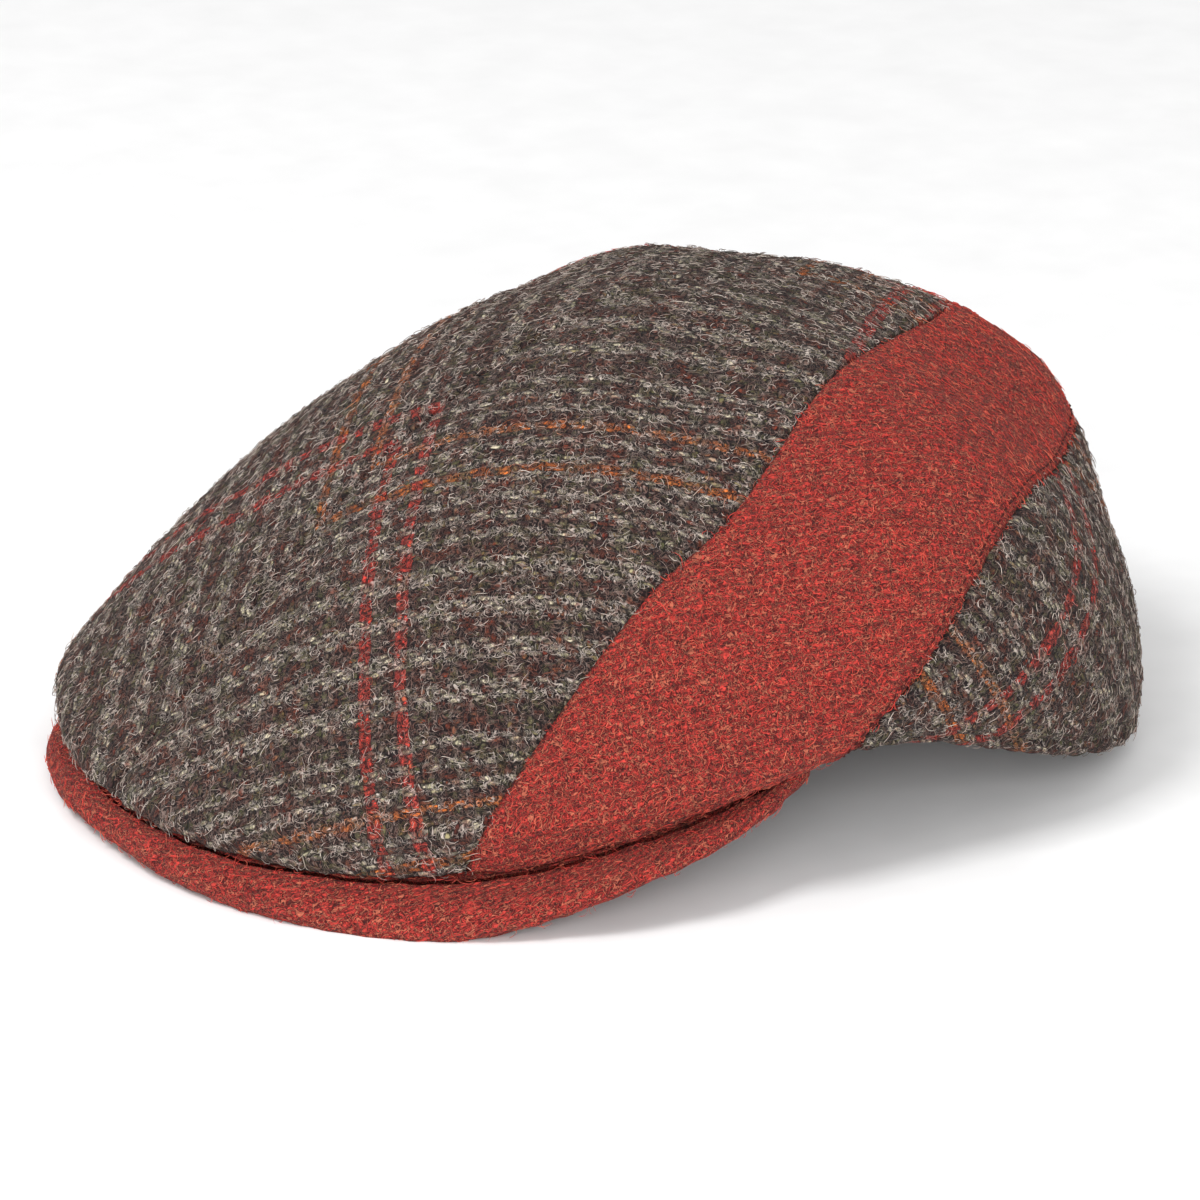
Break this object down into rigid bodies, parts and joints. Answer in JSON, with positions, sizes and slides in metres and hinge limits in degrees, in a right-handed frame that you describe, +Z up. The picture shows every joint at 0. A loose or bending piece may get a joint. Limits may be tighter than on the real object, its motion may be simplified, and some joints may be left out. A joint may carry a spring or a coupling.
{
  "type": "flat cap",
  "caption": "Flat cap of plaid tweed with a slanting red wool band on each side and a red cloth-covered peak; hollow for the head, resting on its peak and rear hem.",
  "frame": {"origin": "on the surface the cap rests on, under the middle of its box", "axes": "+Z up; the cap's front and peak look along -Y; +X is the wearer's left side"},
  "size_m": [0.2112, 0.259, 0.112],
  "materials": {
    "tweed": "fuzzy wool plaid tweed, matte",
    "red_wool": "fuzzy plain red wool, matte"
  },
  "bodies": {
    "root": {"top_panel_left": "tweed", "top_panel_right": "tweed", "side_band_left": "red_wool", "side_band_right": "red_wool", "rear_panel_left": "tweed", "rear_panel_right": "tweed", "peak": "red_wool"}
  },
  "joints": []
}
